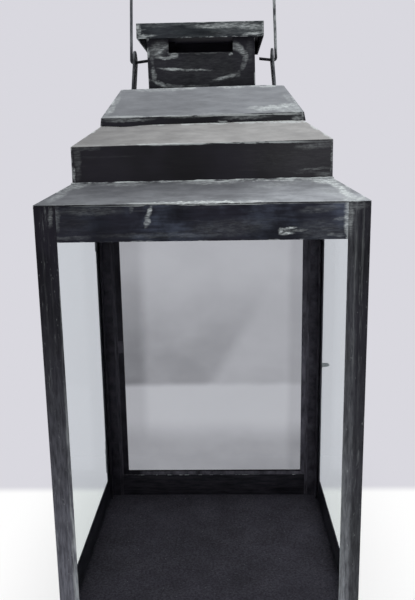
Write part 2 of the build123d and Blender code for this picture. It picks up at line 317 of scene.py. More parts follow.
# Brush marks on the front, each as strokes() says
RAIL_MARKS = [
    ((-38.2, 360.4), (5.2, 2.0), 76, 0.0, 0.85), ((-40.4, 353.6), (5.2, 2.0), 78, 0.0, 0.7),
    ((64.0, 346.9), (6.0, 1.0), 4, 0.3, 0.95), ((63.0, 343.4), (5.4, 1.0), 2, -0.2, 0.9),
    ((58.6, 345.1), (1.8, 2.2), 0, 0.0, 0.9), ((73.0, 345.4), (7.0, 1.0), 4, 0.0, 0.6),
    ((62.5, 345.2), (5.0, 2.2), 0, 0.0, 0.4), ((103.0, 353.6), (7.0, 1.2), 14, 0.0, 0.5),
    ((20.0, 348.0), (34.0, 6.0), 4, 0.0, 0.27), ((88.0, 345.0), (20.0, 8.0), 0, 0.0, 0.3),
    ((88.0, 361.0), (16.0, 2.5), 4, 0.0, 0.37), ((-98.0, 341.8), (16.0, 1.6), 2, 0.2, 0.35),
    ((99.0, 341.8), (9.0, 1.4), -4, 0.0, 0.45), ((-52.0, 363.4), (1.4, 3.4), 5, 0.0, 0.35),
    ((107.9, 354.0), (16.0, 2.6), 90, 0.0, 0.8), ((-107.6, 357.0), (11.0, 2.0), 90, 0.0, 0.4),
    ((-84.0, 361.5), (30.0, 3.0), 0, 0.0, 0.32), ((-12.0, 363.8), (40.0, 1.2), 0, 0.0, 0.14),
    ((-96.0, 352.0), (16.0, 9.0), 0, 0.0, 0.16), ((-20.0, 343.0), (60.0, 2.0), 0, 0.0, 0.3),
]
POST_MARKS = [
    ((110.0, 354.0), (14.0, 2.0), 90, 0.0, 0.55), ((115.5, 362.5), (8.0, 2.2), 6, 0.0, 0.4),
    ((113.0, 349.0), (8.0, 1.8), 84, 0.0, 0.2), ((-112.0, 358.0), (8.0, 2.0), 84, 0.0, 0.45),
    ((-118.0, 350.0), (9.0, 5.0), 90, 0.0, 0.1),
]
LOWER_MARKS = [
    ((109.0, 370.8), (11.0, 2.4), -31, 0.0, 1), ((103.0, 376.4), (10.0, 2.4), -31, 0.0, 0.95),
    ((113.0, 367.8), (10.0, 1.8), 0, 0.0, 0.9), ((94.0, 380.2), (12.0, 1.8), -4, 0.0, 0.9),
    ((97.0, 372.0), (11.0, 2.6), -20, 0.0, 0.5), ((-107.0, 373.2), (10.0, 2.2), 31, 0.0, 0.5),
    ((-96.0, 379.2), (12.0, 2.0), 8, 0.0, 0.6), ((-60.0, 380.4), (22.0, 1.5), 0, 0.0, 0.5),
    ((6.0, 380.6), (24.0, 1.5), 0, 0.0, 0.6), ((60.0, 378.8), (26.0, 1.8), 6, 0.2, 0.5),
    ((0.0, 368.0), (66.0, 2.0), 0, 0.0, 0.3), ((4.0, 366.9), (52.0, 0.9), 0, 0.0, 1),
]
CHIMNEY_MARKS = [
    ((-36.0, 486.4), (10.0, 5.5), 25, 0.0, 0.58), ((-33.5, 485.2), (8.5, 1.5), 32, 0.2, 0.8),
    ((-41.2, 481.0), (1.6, 6.5), 0, 0.0, 0.45), ((-30.0, 479.6), (9.5, 1.3), 0, 0.4, 0.85),
    ((-22.5, 481.6), (4.0, 2.4), 20, 0.0, 0.8), ((-26.0, 483.0), (3.0, 1.5), -30, 0.0, 0.5),
    ((-24.0, 470.4), (12.0, 1.05), -3, 0.3, 0.88), ((-8.0, 469.6), (17.0, 0.8), -2, 0.0, 0.74),
    ((-39.6, 466.5), (1.8, 6.0), 8, 0.0, 0.7), ((-35.0, 459.6), (7.0, 1.5), -24, -0.4, 0.8),
    ((-24.0, 457.6), (10.0, 1.3), -4, 0.0, 0.6), ((-4.0, 457.2), (10.0, 1.1), 1, 0.0, 0.5),
    ((19.5, 463.4), (11.0, 1.5), 14, 0.4, 0.8), ((14.0, 461.6), (10.0, 1.6), 4, 0.0, 0.35),
    ((31.5, 485.0), (7.5, 2.7), -50, 0.0, 0.8), ((36.0, 478.8), (5.2, 2.0), 80, 0.3, 0.64),
    ((34.0, 473.2), (5.0, 1.9), 66, 0.0, 0.48), ((29.8, 466.0), (4.0, 1.6), 52, 0.0, 0.4),
    ((27.0, 487.6), (5.0, 2.8), -30, 0.0, 0.6), ((39.0, 482.0), (3.6, 9.0), 0, 0.0, 0.3),
    ((0.0, 482.8), (24.0, 0.7), 0, 0.0, 0.4), ((23.5, 481.6), (2.2, 1.1), 0, 0.0, 0.8),
    ((0.0, 470.0), (50.0, 16.0), 0, 0.0, 0.2),
]
CAP_MARKS = [
    ((16.0, 502.2), (26.0, 2.1), 1, 0.1, 0.72), ((38.0, 501.4), (14.0, 2.7), -4, 0.0, 0.7),
    ((42.0, 496.2), (10.0, 1.2), 4, 0.0, 0.85), ((-44.0, 495.8), (8.5, 1.2), 4, 0.0, 0.85),
    ((-49.6, 499.5), (1.2, 6.0), 0, 0.0, 0.6), ((49.6, 499.6), (1.2, 6.2), 0, 0.0, 0.7),
    ((-36.0, 502.8), (14.0, 1.0), 0, 0.0, 0.35), ((-20.0, 504.0), (34.0, 0.8), 0, 0.0, 0.35),
    ((30.0, 498.5), (26.0, 3.5), 2, 0.0, 0.36), ((28.0, 504.3), (24.0, 0.9), 0, 0.0, 0.5),
    ((-30.0, 499.0), (24.0, 5.0), 0, 0.0, 0.2), ((0.0, 494.6), (40.0, 0.9), 0, 0.0, 0.25),
]
UPPER_MARKS = [
    ((58.0, 436.8), (20.0, 1.9), 7, 0.0, 0.95), ((44.0, 436.4), (9.0, 1.5), 0, 0.0, 0.8),
    ((68.0, 434.6), (9.0, 1.7), 3, 0.0, 0.75), ((-72.0, 437.0), (6.0, 2.4), 48, 0.0, 0.7),
    ((-68.0, 443.5), (6.0, 2.0), 50, 0.0, 0.6), ((74.0, 434.0), (4.4, 3.6), 20, 0.0, 0.75),
    ((16.5, 426.4), (4.4, 1.2), 0, 0.0, 0.7), ((-56.0, 428.6), (20.0, 1.3), 2, 0.0, 0.5),
    ((36.0, 429.6), (20.0, 1.5), 2, 0.0, 0.5), ((-16.0, 430.4), (16.0, 1.2), -1, 0.0, 0.4),
    ((12.0, 432.6), (14.0, 1.5), 0, 0.0, 0.5), ((68.0, 444.0), (5.0, 1.5), -48, 0.0, 0.55),
    ((74.0, 427.6), (4.6, 1.8), 0, 0.0, 0.6), ((-64.0, 429.5), (16.0, 2.0), 0, 0.0, 0.45),
    ((-30.0, 452.4), (32.0, 1.1), 0, 0.0, 0.6),
]
MIDDLE_MARKS = [
    ((-98.4, 388.0), (1.2, 5.5), 4, 0.0, 0.7), ((-88.0, 407.4), (14.0, 1.2), 1, 0.0, 0.3),
    ((88.0, 389.6), (15.0, 1.0), 3, 0.0, 0.4), ((84.0, 387.0), (19.0, 1.0), -1, 0.2, 0.3),
    ((94.0, 385.2), (8.0, 1.8), 4, 0.0, 0.45), ((88.0, 406.4), (18.0, 2.2), 3, 0.0, 0.43),
    ((99.2, 396.0), (0.9, 14.0), 0, 0.0, 0.5), ((-95.0, 398.0), (3.0, 14.0), 0, 0.0, 0.32),
    ((70.0, 397.0), (40.0, 10.0), 0, 0.0, 0.16), ((-99.2, 398.0), (0.8, 12.0), 0, 0.0, 0.3),
]


def on_front(finish, marks, seed=20):
    """Brush marks that lie on faces turned to the front alone."""
    return strokes(finish, marks, seed) * finish.faces_back.step(-0.25, -0.45)


# Gloss of the paint on inner faces, and the painted shadow line beside the glass of the hinge
# stile, with the place where it is broken, in millimetres
INNER_SHINE = 0.06
SHADE_LINE = 3.2
CLIP_Z, CLIP_HALF = 186, 8


def lit_below(finish):
    """The light that inner faces get: little under the roof, and more towards the floor."""
    return 0.35 + 0.65 * finish.z.step(330, 130)


def post_paint():
    """Posts drawn through a hazy brush from top to bottom, palest at the foot, with painted light
    on the right post and on inner faces, and painted shade in the inner corners.
    """
    finish = Finish("post_paint")
    corner, outside = frame_places(finish)
    rise = finish.z / EAVES_Z
    low, high = rise.step(1.05, -0.2), rise.step(0.45, 0.75)
    right_side = finish.x.step(-60, 60)
    pale_half = corner.step(7, 11)
    free_edge = abs(POST_LEG - corner)
    pulled = (0.45, 0.45, 0.035)
    streaky = finish.cloud(pulled, seed=14, detail=5.0, rough=0.7)
    white = scuff(finish, corner, 0.5, 11, (0.2, 0.2, 0.05), 0.3) * 0.22
    white = white.most(scuff(finish, free_edge, 0.5, 13, (0.3, 0.3, 0.04), 0.4) * 0.25)
    strip = (free_edge / (1.0 + 5.0 * low)).step(1.0, 0.3) * streaky.step(0.4, 0.62)
    white = white.most(strip * low * (0.6 - 0.45 * right_side))
    first_line = (abs(corner - 5.5) / 1.1).step(1.0, 0.4)
    second_line = (abs(corner - 10.5) / 0.9).step(1.0, 0.4)
    lines = first_line.most(second_line) * streaky.step(0.4, 0.6)
    white = white.most(lines * high * (0.02 + 0.08 * right_side))
    dragged = finish.cloud(pulled, seed=15, detail=5.0, rough=0.7).step(0.58, 0.78)
    white = white.most(dragged * 0.25)
    flecks = finish.cloud((0.45, 0.45, 0.22), seed=16, detail=4.0, rough=0.6).step(0.63, 0.74)
    fleck_band = (abs(corner - 11) / 2.5).step(1.0, 0.4)
    white = white.most(flecks * (0.16 + 0.3 * low * fleck_band))
    white = white.most(on_front(finish, POST_MARKS))
    # The right post is paler than the left near the top: partly painted light from the right.
    left_haze = 0.015 * (1 - high) + 0.15 * low + 0.25 * low * low
    right_haze = (0.05 + 0.3 * low * low) * (0.45 + 1.3 * pale_half)
    outer_haze_and_light = left_haze + (right_haze - left_haze) * right_side + 0.01 - 0.006 * high
    # Inner faces: painted light towards the floor, more at the right and on faces turned to the
    # sides, and painted shade in the inner corner, where the haze is thinnest.
    lit = finish.faces_back.step(-0.5, -0.9) * lit_below(finish)
    lit_sides = abs(finish.faces_right).step(0.5, 0.9)
    inner_light_and_haze = 0.03 + 0.03 * corner.step(3, 15) + (0.05 + 0.1 * right_side) * lit + 0.09 * lit_sides
    haze = outer_haze_and_light * outside + inner_light_and_haze * (1 - outside)
    tone = finish.mix(outside, VIOLET_HAZE, finish.mix(right_side, BLUE_HAZE, HAZE))
    return painted(finish, white * outside, haze, (0.5, 0.5, 0.06), tone=tone, soot=outside)


def rail_paint():
    """Rails nearly black under a patchy blue haze, paler to the right with painted light, and
    white crumbs on the ledge at the door.
    """
    finish = Finish("rail_paint")
    corner, outside = frame_places(finish)
    along = finish.x
    top_edge = abs(finish.z - EAVES_Z)
    low_edge = abs(finish.z - RAIL_TOP_LOW / MM).least(abs(finish.z - RAIL_LOW_TOP / MM))
    seam = corner - POST_LEG
    right_end = along.step(60, 100)
    middle = abs(along).step(75, 40)
    white = scuff(finish, top_edge, 0.8, 21, (0.02, 0.02, 0.2), 0.6) * (0.15 + 0.4 * middle)
    white = white.most(scuff(finish, low_edge, 0.7, 22, (0.08, 0.08, 0.2), 0.3) * 0.4)
    seam_line = scuff(finish, seam, 2.0, 23, (0.12, 0.12, 0.1), 0.45)
    white = white.most(seam_line * (0.12 + 0.3 * right_end))
    white = white.most(on_front(finish, RAIL_MARKS))
    dragged = finish.cloud((0.02, 0.02, 0.5), seed=24, detail=5.0, rough=0.7).step(0.6, 0.8)
    white = white.most(dragged * 0.1)
    patchy = finish.cloud(0.04, seed=25, detail=4.0).step(0.4, 0.66)
    inner_top = finish.faces_up.step(0.2, 0.5) * finish.y.step(110, 120)
    crumbs = finish.cloud((0.11, 0.1, 0.1), seed=26, detail=5.0, rough=0.7).step(0.52, 0.62)
    left_heap = (abs(along + 46) / 26).step(1.0, 0.5)
    right_heap = (abs(along - 78) / 30).step(1.0, 0.5)
    white = (white * outside).most(inner_top * crumbs * (0.4 + 0.6 * left_heap.most(right_heap)))
    # The haze thins at the far left and thickens at the right end: partly painted light from the
    # right.
    outer_haze_and_light = 0.021 + 0.085 * patchy * along.step(-105, -40) + 0.035 * right_end
    haze = outer_haze_and_light * outside + 0.058 * (1 - outside)
    tone = finish.mix(outside, VIOLET_HAZE, RAIL_HAZE)
    return painted(finish, white, haze, grain=(0.05, 0.05, 0.4), tone=tone, soot=outside)


def roof_paint(name, fold_z, top_z, eaves, washes_and_light, seed, marks, bright, fade=0.0, contrast=0.22,
               tone=HAZE):
    """A tier's paint: washed pale on its slopes, nearly black on its fascia.

    The washes are the haze at its left, middle and right, growing to the right partly as painted
    light from that side. Its lower fold is whitest within the bright half length, and the fade
    makes the wash thicker towards that fold.
    """
    finish = Finish(name)
    slope = finish.faces_up.step(0.25, 0.45)
    level = finish.faces_up.step(0.95, 0.99)
    far, near = finish.around()
    bright_run = abs(finish.x).step(bright + 14, bright - 8)
    fold = scuff(finish, abs(finish.z - fold_z), 0.9, seed, (0.04, 0.04, 0.3), 0.6)
    hip = scuff(finish, far - near, 2.0, seed + 1, 0.09, 0.35) * 0.7
    joint = scuff(finish, abs(finish.z - top_z), 1.1, seed + 2, (0.08, 0.08, 0.3), 0.5) * 0.6
    corner = scuff(finish, eaves - near, 1.0, seed + 3, (0.15, 0.15, 0.15), 0.4) * 0.35
    white = (fold * (0.13 + 0.4 * bright_run)).most(hip.most(joint) * slope) * (1 - level)
    white = white.most(corner * (1 - slope)).most(on_front(finish, marks, seed + 4))
    dragged = finish.cloud((0.015, 0.015, 0.4), seed=seed + 5, detail=5.0, rough=0.7)
    white = white.most(dragged.step(0.58, 0.8) * (0.05 + 0.12 * slope))
    broad = finish.cloud((0.012, 0.012, 0.03), seed=seed + 6, detail=3.0, rough=0.6)
    # Paler to the right: on the slopes partly, and on the fascia wholly, painted light from that
    # side.
    pale = finish.x.step(10, 80)
    left, middle, right = washes_and_light
    wash_and_light = left + (middle - left) * finish.x.step(-90, 20) + (right - middle) * pale
    foot = ((finish.z - fold_z) / (top_z - fold_z)).step(0.9, 0.1)
    haze = slope * wash_and_light * (0.8 + 0.4 * broad) * (1 - 0.5 * fade + fade * foot)
    haze = haze + (1 - slope) * (0.02 + 0.035 * pale)
    return painted(finish, white, haze, grain=(0.05, 0.05, 0.35), contrast=contrast, tone=tone)


def chimney_paint():
    finish = Finish("chimney_paint")
    far, near = finish.around()
    outside = far.step(CHIMNEY / MM - 0.6, CHIMNEY / MM - 0.3)
    white = scuff(finish, abs(finish.z - CROWN_Z / MM), 1.8, 41, (0.07, 0.07, 0.2), 0.6) * 0.8
    white = white.most(scuff(finish, CHIMNEY / MM - near, 1.2, 42, (0.08, 0.08, 0.05), 0.4) * 0.6)
    white = white.most(on_front(finish, CHIMNEY_MARKS))
    swirls = finish.cloud((0.05, 0.05, 0.12), seed=44, detail=4.0, rough=0.6, twist=1.6)
    hidden_sides = finish.faces_back.step(-0.6, -0.2)
    white = white.most(swirls.step(0.62, 0.7) * hidden_sides * 0.6)
    return painted(finish, white * outside, 0.035 * outside, (0.08, 0.08, 0.3), soot=outside)


def cap_paint():
    finish = Finish("cap_paint")
    far, near = finish.around()
    outside = far.step(CAP / MM - 0.7, CAP / MM - 0.35)
    top = finish.faces_up.step(0.5, 0.8)
    low_edge = scuff(finish, abs(finish.z - CAP_LOW / MM), 0.8, 51, (0.05, 0.05, 0.2), 0.4) * 0.7
    high_edge = scuff(finish, abs(finish.z - CAP_TOP / MM), 0.8, 52, (0.05, 0.05, 0.2), 0.55) * 0.6
    white = low_edge.most(high_edge) * (1 - top)
    white = white.most(scuff(finish, CAP / MM - near, 1.3, 53, (0.1, 0.1, 0.1), 0.4) * 0.6)
    white = white.most(on_front(finish, CAP_MARKS))
    dragged = finish.cloud((0.03, 0.03, 0.35), seed=54, detail=4.0, rough=0.7).step(0.56, 0.7)
    white = white.most(dragged * 0.2) * outside.most(top)
    haze = 0.06 * outside + 0.3 * top
    tone = finish.mix(outside, HAZE, GREEN_HAZE)
    return painted(finish, white, haze, grain=(0.05, 0.05, 0.3), tone=tone)


def inside_paint():
    """The clamp angles' thin paint, a little paler at the right."""
    finish = Finish("inside_paint")
    specks = finish.cloud(0.35, seed=61, detail=3.0, rough=0.7).step(0.7, 0.78) * 0.2
    rubbed = finish.cloud(0.012, seed=62, detail=4.0).step(0.4, 0.7)
    haze = 0.055 + 0.025 * rubbed + 0.055 * finish.x.step(0, 60)
    return painted(finish, specks, haze, grain=(0.1, 0.1, 0.1), depth=0.12, tone=VIOLET_HAZE,
                   soot=0.4, shine=INNER_SHINE)


def door_paint():
    """The door's frame: rubbed white outside, and a thin haze inside under painted light that is
    strongest near the glass, towards the floor and away from the hinge, with a painted shadow
    line beside the glass at the hinge.
    """
    finish = Finish("door_paint")
    half_high = (DOOR_TOP - DOOR_LOW) / 2 / MM
    middle = (DOOR_TOP + DOOR_LOW) / 2 / MM
    inset = (DOOR / MM - abs(finish.x)).least(half_high - abs(finish.z - middle))
    back = finish.faces_back.step(0.5, 0.9)
    white = scuff(finish, abs(DOOR_BAR - inset), 1.0, 71, (0.03, 0.03, 0.03), 0.45) * 0.6
    white = white.most(scuff(finish, inset, 1.2, 72, (0.05, 0.05, 0.05), 0.45) * 0.5)
    dragged = finish.cloud((0.08, 0.5, 0.05), seed=73, detail=5.0, rough=0.7).step(0.6, 0.76)
    white = white.most(dragged * 0.3) * back
    # Inner faces turned to the front get painted light: most near the glass and towards the floor,
    # twice as much away from the hinge, and none in the painted shadow line by the hinge stile's
    # glass.
    front = finish.faces_back.step(-0.5, -0.9)
    from_glass = DOOR_BAR - inset
    hinge_side = finish.x.step(-80, -90)
    clip = (abs(finish.z - CLIP_Z) / CLIP_HALF).step(1.0, 0.8)
    shade_line = hinge_side * from_glass.step(SHADE_LINE + 1, SHADE_LINE) * (1 - clip)
    lit = (0.3 + 0.7 * from_glass.step(16, 3)) * (1 - shade_line) * lit_below(finish)
    haze = 0.05 * back + (0.035 + 0.085 * lit) * (2.2 - 1.1 * hinge_side) * front
    return painted(finish, white, haze, grain=(0.1, 0.4, 0.05), tone=VIOLET_HAZE, soot=back,
                   shine=INNER_SHINE)


def hardware_paint(name, rubbed, haze=0.12):
    finish = Finish(name)
    worn = finish.cloud(0.12, seed=81, detail=4.0, rough=0.6)
    white = worn.step(0.5 - 0.2 * rubbed, 0.8 - 0.2 * rubbed) * rubbed
    return painted(finish, white, haze, grain=(0.4, 0.4, 0.4), depth=0.12)


def ear_paint():
    finish = Finish("ear_paint")
    rubbed = finish.cloud((0.2, 0.2, 0.08), seed=83, detail=4.0, rough=0.7).step(0.5, 0.7)
    return painted(finish, rubbed * 0.35, 0.25, grain=(0.4, 0.4, 0.1), depth=0.12)


def wire_paint():
    finish = Finish("wire_paint")
    right_leg = finish.x.step(20, 50) * finish.z.step(484, 492)
    rubbed = finish.cloud((0.3, 0.3, 0.09), seed=85, detail=4.0, rough=0.7)
    white = rubbed.step(0.56, 0.72) * 0.35 + rubbed.step(0.44, 0.54) * right_leg * 0.5
    white = white * finish.z.step(482, 488)
    haze = 0.06 + 0.2 * finish.z.step(480, 500)
    return painted(finish, white, haze, grain=(0.4, 0.4, 0.1), depth=0.1)


def base_paint():
    finish = Finish("base_paint")
    dust = finish.cloud(0.03, seed=91, detail=4.0, rough=0.65).step(0.35, 0.75)
    specks = finish.cloud(0.45, seed=92, detail=2.0).step(0.7, 0.76)
    grit = finish.cloud((0.35, 0.2, 0.35), seed=93, detail=4.0, rough=0.7).step(0.3, 0.7)
    haze = 0.085 + 0.045 * dust + 0.035 * grit
    return painted(finish, specks * 0.3, haze, (0.5, 0.5, 0.5), depth=0.15, tone=VIOLET_HAZE)


def solder_paint():
    """The joint lines between the roof's tiers, filled with solder and brushed pale."""
    finish = Finish("solder_paint")
    broken = finish.cloud((0.09, 0.09, 0.3), seed=95, detail=4.0, rough=0.65).step(0.36, 0.6)
    return painted(finish, broken * 0.8, 0.2, grain=(0.3, 0.3, 0.3), depth=0.2)


# The door pane's painted shadow, the lantern's own shadow on a wall behind it: the height that
# its upper field ends at, the lean of the less shaded part's edge, and how far the fields' edges
# stray, in millimetres
SHADOW_FIELD_LINE = 140
SHADOW_EDGE_LEAN = 0.56
SHADOW_STRAY = 9


def glass_finish(name, tint, shade_depth=0.0):
    """Glass seen through without bending, glossy at shallow angles, and dimmed by a film that on
    the door is a painted shadow with faint smears.
    """
    finish = Finish(name)
    smears = finish.cloud((0.014, 0.014, 0.02), seed=97, detail=4.0, rough=0.5).step(0.25, 0.75)
    wander = finish.cloud((0.03, 0.03, 0.012), seed=98, detail=4.0, rough=0.6)
    stray = SHADOW_STRAY * (wander - 0.5)
    across = finish.x + stray
    above = (finish.z + 0.5 * stray).step(SHADOW_FIELD_LINE - 5, SHADOW_FIELD_LINE + 4)
    less_shaded = (across - SHADOW_EDGE_LEAN * (finish.z - SHADOW_FIELD_LINE)).step(-10, 12)
    upper = above * (0.2 + finish.z.step(290, 160) * (0.66 - 0.42 * less_shaded))
    lower = finish.z.step(100, 62) * 0.72
    beside_stile = finish.z.step(60, 100) * 0.35 + above * finish.z.step(300, 235) * 0.24
    stile_side = across.step(-70, -86) * beside_stile
    latch_side = across.step(84, 95) * 0.3
    # The film is mostly a painted shadow: darkest in the upper field to the left, at the foot and
    # beside the stiles, with faint smears.
    dust = (upper + lower) * (0.8 + 0.4 * smears) + stile_side + latch_side + 0.06 * smears
    clear = finish.node("ShaderNodeBsdfTransparent", inputs={"Color": tint})
    film = finish.node("ShaderNodeBsdfTransparent", inputs={"Color": SHADOW_GREY})
    cover = (shade_depth * dust).least(0.9)
    shadowed = finish.node("ShaderNodeMixShader", inputs={0: cover, 1: clear, 2: film})
    graze = finish.node("ShaderNodeLayerWeight", inputs={"Blend": 0.5}, output="Facing")
    mirror = finish.node("ShaderNodeBsdfGlossy", inputs={"Color": (1, 1, 1, 1), "Roughness": 0.04})
    share = 0.25 * graze ** 8.0
    return finish.show(finish.node("ShaderNodeMixShader", inputs={0: share, 1: shadowed, 2: mirror}))


# Pieces

# The ears lean outwards below their pivot, and the bail's pins rise towards them
EAR_INNER = 59.2 * MM
EAR_TOP = 492 * MM
EAR_PIVOT = 481.9 * MM
EAR_LEAN = 2.6 * MM
PIN_RISE = 0.14

# Edges folded by more than this are rounded, and panes are smaller all round by their ease
FOLD_ANGLE = radians(25)
PANE_EASE = 0.05 * MM

# The roof's crookedness: its lift in the middle and for each metre to the right, the share of it
# that the right end of the crown goes without, and how far the chimney's top leans to the left
ROOF_LIFT = 0.3 * MM
ROOF_TILT = 0.0135
CROWN_EASE = 0.65
CHIMNEY_LEAN = 1.0 * MM


def share_of(*shares):
    """The least of the shares, held between 0 and 1."""
    return max(0.0, min(1.0, *shares))


def settle(mesh):
    """Move a roof piece as the soldered one sits: higher at the right, its chimney a little left.

    Heights are in millimetres. The lift comes in above the eaves and goes out along the chimney.
    """
    for vert in mesh.verts:
        height = vert.co.z / MM
        if height > EAVES_Z + 1:
            lift = share_of((height - EAVES_Z - 1) / 28, (478 - height) / 22)
            bail_rest = share_of((vert.co.x / MM - 50) / 10, (height - 448) / 4)
            vert.co.z += lift * (1 - CROWN_EASE * bail_rest) * (ROOF_LIFT + ROOF_TILT * vert.co.x)
            if abs(vert.co.x) < CAP + MM and height > CROWN_Z / MM - 0.5:
                vert.co.x -= min(1.0, (height - 440) / 55) * CHIMNEY_LEAN


def made(name, mesh, material, slot, *nodes, body="lantern", smooth=radians(35)):
    """Finish a piece made here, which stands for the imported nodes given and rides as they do.

    A piece that stands for none rides on the body given. Edges beyond the smooth angle stay sharp.
    """
    if nodes:
        body = frame["nodes"][nodes[0]]["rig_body"]
    if body == "lantern":
        settle(mesh)
    data = bpy.data.meshes.new(name)
    bmesh.ops.recalc_face_normals(mesh, faces=mesh.faces)
    for face in mesh.faces:
        face.smooth = True
    mesh.to_mesh(data)
    mesh.free()
    data.materials.append(material)
    data.set_sharp_from_angle(angle=smooth)
    piece = bpy.data.objects.new(name, data)
    bpy.context.scene.collection.objects.link(piece)
    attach(piece, body)
    if nodes:
        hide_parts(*nodes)
    return piece


def softened(node, slot, material, round_mm):
    """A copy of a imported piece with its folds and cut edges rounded, which stands for it."""
    mesh = bmesh.new()
    mesh.from_mesh(frame["nodes"][node].data)
    bmesh.ops.remove_doubles(mesh, verts=mesh.verts, dist=0.002 * MM)
    bmesh.ops.dissolve_limit(mesh, angle_limit=radians(0.5), verts=mesh.verts, edges=mesh.edges)
    edges = [e for e in mesh.edges if len(e.link_faces) == 2 and e.calc_face_angle(0) > FOLD_ANGLE]
    bmesh.ops.bevel(mesh, geom=edges, offset=round_mm * MM, offset_type="OFFSET", segments=2,
                    profile=0.5, affect="EDGES", clamp_overlap=True)
    if node == "bail":
        for vert in mesh.verts:
            if vert.co.z < EAR_TOP:
                vert.co.z += PIN_RISE * max(0.0, EAR_INNER - abs(vert.co.x))
    if node.startswith("ear"):
        for vert in mesh.verts:
            lean = EAR_LEAN * max(0.0, (EAR_PIVOT - vert.co.z) / (EAR_PIVOT - CROWN_Z))
            vert.co.x += lean if vert.co.x > 0 else -lean
    return made(node + "_made", mesh, material, slot, node)


def eased_pane(node, slot, material):
    """A copy of a packed pane, a hair smaller so that its faces lie clear of the frame's."""
    mesh = bmesh.new()
    mesh.from_mesh(frame["nodes"][node].data)
    low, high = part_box(node)
    for vert in mesh.verts:
        for axis in range(3):
            middle = (low[axis] + high[axis]) / 2
            vert.co[axis] += PANE_EASE if vert.co[axis] < middle else -PANE_EASE
    return made(node + "_made", mesh, material, slot, node)


def turned(mesh, profile, place, towards, steps=20):
    """Add a turned form: its profile has radii, and heights above the place, in millimetres."""
    spin = Vector((0, 0, 1)).rotation_difference(Vector(towards)).to_matrix()
    rings = []
    for radius, height in profile:
        ring = []
        for s in range(steps):
            angle = 2 * pi * s / steps
            spot = Vector((radius * cos(angle), radius * sin(angle), height)) * MM
            ring.append(mesh.verts.new(Vector(place) + spin @ spot))
        rings.append(ring)
    for one, two in zip(rings, rings[1:]):
        for k in range(steps):
            mesh.faces.new((one[k], one[k - 1], two[k - 1], two[k]))
    mesh.faces.new(rings[0])
    mesh.faces.new(rings[-1])


# The roof's sheet in millimetres, and the steps along a tier's side and round a fold
ROOF_SHEET = 1.0
SIDE_STEPS = 44
FOLD_STEPS = 3


def wave(place, seed, length):
    """A gentle wander from -1 to 1 along a line, made of three sines."""
    return (0.5 * sin(2 * pi * place / length + seed)
            + 0.3 * sin(2 * pi * place / (length * 0.47) + 2.1 * seed)
            + 0.2 * sin(2 * pi * place / (length * 0.23) + 3.7 * seed))


def square_ring(name, section, finish, node, corner=1.2, wander=None):
    """A roof tier swept round a square: its section has half widths and heights in millimetres.

    The corner is its corners' radius. The wander gives how far a point is let in and lifted.
    """
    mesh = bmesh.new()
    rings = []
    for out, height in section:
        ring = []
        for turn in range(4):
            spin = Matrix.Rotation(turn * pi / 2, 3, "Z")
            straight = out - corner
            spots = [(straight * (2 * s / SIDE_STEPS - 1), -out) for s in range(SIDE_STEPS + 1)]
            for s in (1, 2, 3):
                angle = s * pi / 8
                spots.append((straight + corner * sin(angle), -straight - corner * cos(angle)))
            for along, front in spots:
                shift, lift = wander(turn, along, height) if wander else (0.0, 0.0)
                spot = Vector((along, front - shift, height + lift))
                ring.append(mesh.verts.new(spin @ spot * MM))
        rings.append(ring)
    for one, two in zip(rings, rings[1:] + rings[:1]):
        for k in range(len(one)):
            mesh.faces.new((one[k], one[k - 1], two[k - 1], two[k]))
    return made(name, mesh, finishes[finish], "roof_paint", node)


def folded(points, bend=0.9):
    """Section of a tier's sheet: its outer line, rounded by the bend, and its inner line."""
    outer = []
    for index, point in enumerate(points):
        here = Vector(point)
        if index in (0, len(points) - 1):
            outer.append(here)
            continue
        run_in, run_out = here - Vector(points[index - 1]), Vector(points[index + 1]) - here
        into, away = run_in.normalized(), run_out.normalized()
        reach = min(bend * tan(into.angle(away) / 2), 0.45 * min(run_in.length, run_out.length))
        start, end = here - into * reach, here + away * reach
        for s in range(FOLD_STEPS + 1):
            t = s / FOLD_STEPS
            outer.append(start * (1 - t) ** 2 + here * 2 * t * (1 - t) + end * t * t)
    inner = []
    for index, point in enumerate(outer):
        ahead = outer[min(index + 1, len(outer) - 1)] - outer[max(index - 1, 0)]
        inner.append(point + Vector((-ahead.y, ahead.x)).normalized() * ROOF_SHEET)
    return [tuple(p) for p in outer] + [tuple(p) for p in reversed(inner)]


def bead(name, half_width, height, thick, seed, steps=60):
    """An uneven line of solder laid round a square joint."""
    mesh = bmesh.new()
    rings = []
    for turn in range(4):
        spin = Matrix.Rotation(turn * pi / 2, 3, "Z")
        for s in range(steps):
            along = half_width * (2 * s / steps - 1)
            blobs = 0.4 * wave(along + 300 * turn, seed, 31) + 0.25 * wave(along, seed + 2, 9)
            radius = thick * max(0.72 + blobs, 0.3)
            ring = []
            for k in range(8):
                angle = pi * k / 4
                out = radius * cos(angle)
                aside = -out if s == 0 else 0.0
                place = Vector((along + aside, -half_width - out, height + radius * sin(angle)))
                ring.append(mesh.verts.new(spin @ place * MM))
            rings.append(ring)
    for one, two in zip(rings, rings[1:] + rings[:1]):
        for k in range(8):
            mesh.faces.new((one[k], one[k - 1], two[k - 1], two[k]))
    return made(name, mesh, finishes["solder"], "roof_paint", smooth=radians(80))


